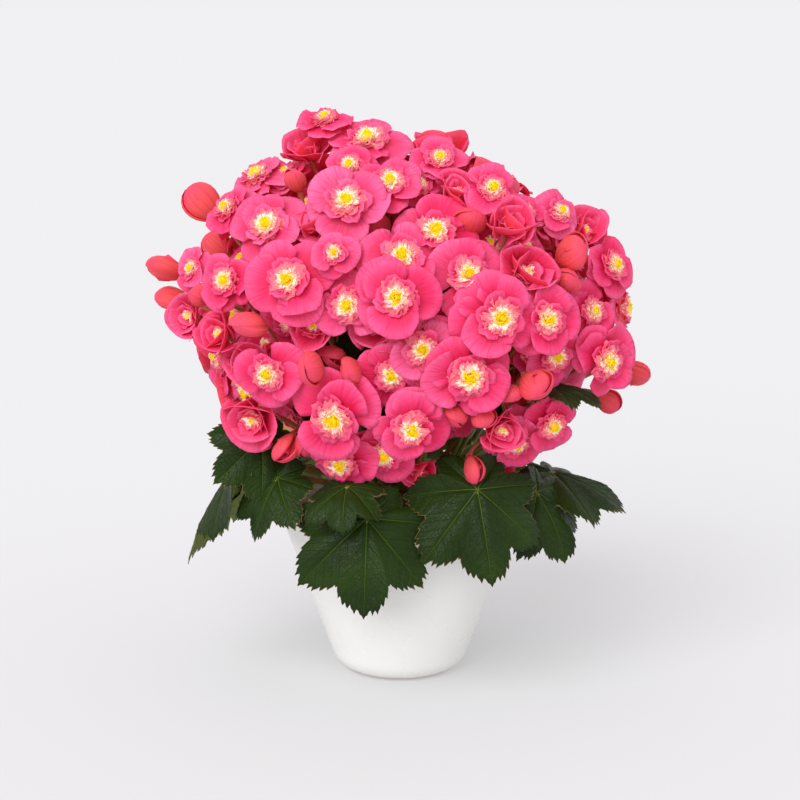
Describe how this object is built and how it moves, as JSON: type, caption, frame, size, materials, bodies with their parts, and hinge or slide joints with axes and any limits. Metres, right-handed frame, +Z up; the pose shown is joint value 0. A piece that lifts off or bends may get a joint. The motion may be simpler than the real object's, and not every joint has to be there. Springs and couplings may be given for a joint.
{
  "type": "potted begonia",
  "caption": "Bushy potted begonia: a dome of double pink blooms and buds on branching stalks over lobed dark leaves, in a plain tapered white pot.",
  "frame": {"origin": "middle of the pot's flat underside", "axes": "+Z up along the pot; -Y towards the side that the picture shows; +X to the right as seen from there"},
  "size_m": [0.3177, 0.2544, 0.3657],
  "materials": {
    "glaze": "satin white glaze",
    "compost": "damp, crumbly, matt",
    "stem": "fleshy, slightly hairy, satin",
    "leaf": "waxy, veined, semi-gloss",
    "petal": "soft satin"
  },
  "bodies": {
    "root": {"pot": "glaze", "soil": "compost", "stems": "stem", "spray_01": "petal", "spray_02": "petal", "spray_03": "petal", "spray_04": "petal", "spray_05": "petal", "spray_06": "petal", "spray_07": "petal", "spray_08": "petal", "spray_09": "petal", "spray_10": "petal", "spray_11": "petal", "spray_12": "petal", "spray_13": "petal", "spray_14": "petal", "spray_15": "petal", "spray_16": "petal", "spray_17": "petal", "spray_18": "petal", "spray_19": "petal", "spray_20": "petal", "spray_21": "petal", "spray_22": "petal", "spray_23": "petal", "spray_24": "petal", "spray_25": "petal", "spray_26": "petal", "spray_27": "petal", "spray_28": "petal", "spray_29": "petal", "spray_30": "petal", "spray_31": "petal", "spray_32": "petal", "spray_33": "petal", "leaf_01": "leaf", "leaf_02": "leaf", "leaf_03": "leaf", "leaf_04": "leaf", "leaf_05": "leaf", "leaf_06": "leaf", "leaf_07": "leaf", "leaf_08": "leaf", "leaf_09": "leaf", "leaf_10": "leaf", "leaf_11": "leaf", "leaf_12": "leaf", "leaf_13": "leaf", "leaf_14": "leaf"}
  },
  "joints": []
}
